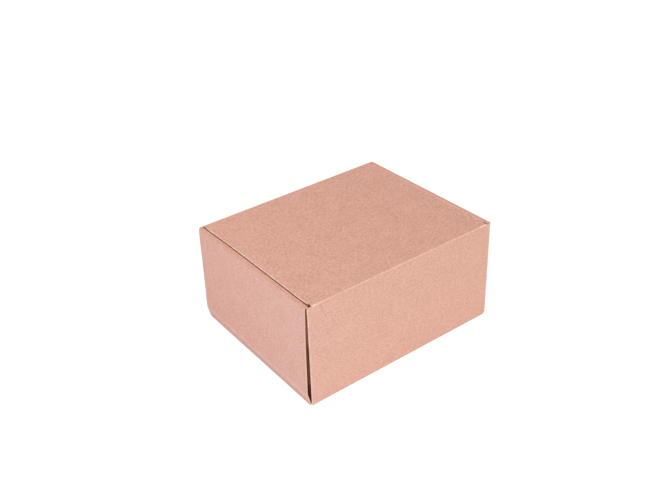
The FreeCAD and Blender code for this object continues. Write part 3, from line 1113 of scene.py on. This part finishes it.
class MAILER_OT_tray(bpy.types.Operator):
    """Fold the tray: floor, walls, corner flaps and doubled sides"""

    bl_idname = "mailer.tray"
    bl_label = "Tray"

    def execute(self, context):
        tray, plan, rim = folded("tray_sheet", tray_blank, tray_seam, "outer_liner", context)
        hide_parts("tray")
        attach(tray, "tray")
        flutes = fluting_piece("tray_fluting", rim, plan, context)
        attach(flutes, "tray")
        shreds = shred_piece("tray_shreds", plan, papers(context)["torn_paper"])
        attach(shreds, "tray")
        return {"FINISHED"}


class MAILER_OT_lid(bpy.types.Operator):
    """Fold the lid with its tuck flap and dust flaps"""

    bl_idname = "mailer.lid"
    bl_label = "Lid"

    def execute(self, context):
        lid, plan, rim = folded("lid_sheet", lid_blank, lid_seam, "lid_liner", context)
        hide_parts("lid")
        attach(lid, "lid")
        flutes = fluting_piece("lid_fluting", rim, plan, context)
        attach(flutes, "lid")
        return {"FINISHED"}


class MAILER_OT_crease(bpy.types.Operator):
    """Bend the board round the lid's crease, where it meets the tray and the lid"""

    bl_idname = "mailer.crease"
    bl_label = "Lid crease"

    def execute(self, context):
        crease, plan, _ = folded("lid_crease", crease_blank, crease_seam, "outer_liner", context)
        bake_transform(crease)
        return {"FINISHED"}


def lamp(name, kind, place, energy, tint, **settings):
    """A lamp that faces the box's middle."""
    light = bpy.data.lights.new(name, kind)
    light.energy = energy
    light.color = tint
    for key, value in settings.items():
        setattr(light, key, value)
    holder = linked(name, light)
    holder.location = place
    toward = Vector((0, 0, 0.05)) - holder.location
    holder.rotation_euler = toward.to_track_quat("-Z", "Y").to_euler()


class MAILER_OT_studio(bpy.types.Operator):
    """Set up the floor, the lights and the camera"""

    bl_idname = "mailer.studio"
    bl_label = "Studio"

    eye = (0.49348, 0.64273, 0.59662)
    heading = math.radians(213.94)
    pitch = math.radians(29.081)
    roll = math.radians(3.381)
    focal_length = 47.813
    off_centre = (0.04605, -0.06743)
    floor_half, floor_drop = 6.0, 0.00005
    floor_dimmed, floor_glow = 0.3, 0.86

    def execute(self, context):
        light = context.scene.studio_light
        self.lay_floor(light)
        self.hang_lights(context, light)
        self.place_camera(context)
        context.scene.view_settings.view_transform = "Standard"
        return {"FINISHED"}

    def lay_floor(self, light):
        """A wide pale floor that looks white and keeps the box's shadow."""
        mesh = bpy.data.meshes.new("floor")
        corners = [(x * self.floor_half, y * self.floor_half)
                   for x, y in ((-1, -1), (1, -1), (1, 1), (-1, 1))]
        mesh.from_pydata([(x, y, -self.floor_drop) for x, y in corners], [], [(0, 1, 2, 3)])
        recipe = Recipe("studio_floor")
        recipe.tree.nodes.remove(recipe.shader)
        ray = recipe.add("ShaderNodeLightPath").outputs["Is Camera Ray"]
        plain, dim = [recipe.first("ShaderNodeBsdfDiffuse", {"Color": shade(light.floor, share)})
                      for share in (1.0, self.floor_dimmed)]
        glow = recipe.first("ShaderNodeEmission", {"Strength": self.floor_glow})
        seen = recipe.first("ShaderNodeAddShader", {0: dim, 1: glow})
        both = recipe.first("ShaderNodeMixShader", {0: ray, 1: plain, 2: seen})
        recipe.feed(recipe.tree.nodes["Material Output"], {"Surface": both})
        mesh.materials.append(recipe.material)
        linked("floor", mesh)

    def hang_lights(self, context, light):
        """An even sky, a broad light on the rear wall and two soft lamps on the +X side."""
        world = context.scene.world or bpy.data.worlds.new("studio")
        context.scene.world = world
        world.use_nodes = True
        graph = Graph(world.node_tree)
        sky = graph.tree.nodes["Background"]
        graph.feed(sky, {"Color": (1.0, 0.92, 0.91, 1.0), "Strength": light.sky})
        white = graph.first("ShaderNodeBackground", {"Color": (1.0, 1.0, 1.0, 1.0)})
        ray = graph.add("ShaderNodeLightPath").outputs["Is Camera Ray"]
        both = graph.first("ShaderNodeMixShader", {0: ray, 1: sky.outputs[0], 2: white})
        graph.feed(graph.tree.nodes["World Output"], {"Surface": both})
        lamp("key_light", "SUN", (-0.23997, 0.89559, 0.42461), light.key, (0.757, 1, 0.994),
             angle=math.radians(40))
        lamp("low_light", "AREA", (0.62, 0.2, 0.12), light.low, (0.28, 0.615, 1), size=0.3)
        lamp("fill_light", "AREA", (0.6, 0.1, 0.6), light.fill, (0.855, 1, 0.943), size=0.4)

    def place_camera(self, context):
        """The camera where the photograph was taken."""
        lens = bpy.data.cameras.new("camera")
        lens.lens = self.focal_length
        lens.sensor_width = 36.0
        lens.clip_start = 0.01
        lens.shift_x, lens.shift_y = self.off_centre
        camera = linked("camera", lens)
        around = Matrix.Rotation(-self.heading, 4, "Z")
        down = Matrix.Rotation(math.pi / 2 - self.pitch, 4, "X")
        tilt = Matrix.Rotation(-self.roll, 4, "Z")
        camera.matrix_world = Matrix.Translation(self.eye) @ around @ down @ tilt
        context.scene.camera = camera


class MAILER_PT_panel(bpy.types.Panel):
    """Lists the steps that make the box"""

    bl_idname = "MAILER_PT_panel"
    bl_label = "Mailing Box"
    bl_space_type = "VIEW_3D"
    bl_region_type = "UI"
    bl_category = "Mailing Box"

    def draw(self, context):
        for step in STEPS:
            self.layout.operator(step.bl_idname)
        scene = context.scene
        for group in (scene.box_sizes, scene.board_make, scene.studio_light):
            box = self.layout.box()
            for name in group.__annotations__:
                box.prop(group, name)


STEPS = (MAILER_OT_tray, MAILER_OT_lid, MAILER_OT_crease, MAILER_OT_studio)
CLASSES = (BoxSizes, BoardMake, StudioLight, *STEPS, MAILER_PT_panel)


def register():
    for made in CLASSES:
        bpy.utils.register_class(made)
    bpy.types.Scene.box_sizes = PointerProperty(type=BoxSizes)
    bpy.types.Scene.board_make = PointerProperty(type=BoardMake)
    bpy.types.Scene.studio_light = PointerProperty(type=StudioLight)


def unregister():
    del bpy.types.Scene.studio_light
    del bpy.types.Scene.board_make
    del bpy.types.Scene.box_sizes
    for made in reversed(CLASSES):
        bpy.utils.unregister_class(made)


def main():
    register()
    bpy.ops.mailer.tray()
    bpy.ops.mailer.lid()
    bpy.ops.mailer.crease()
    bpy.ops.mailer.studio()


if __name__ == "__main__":
    main()
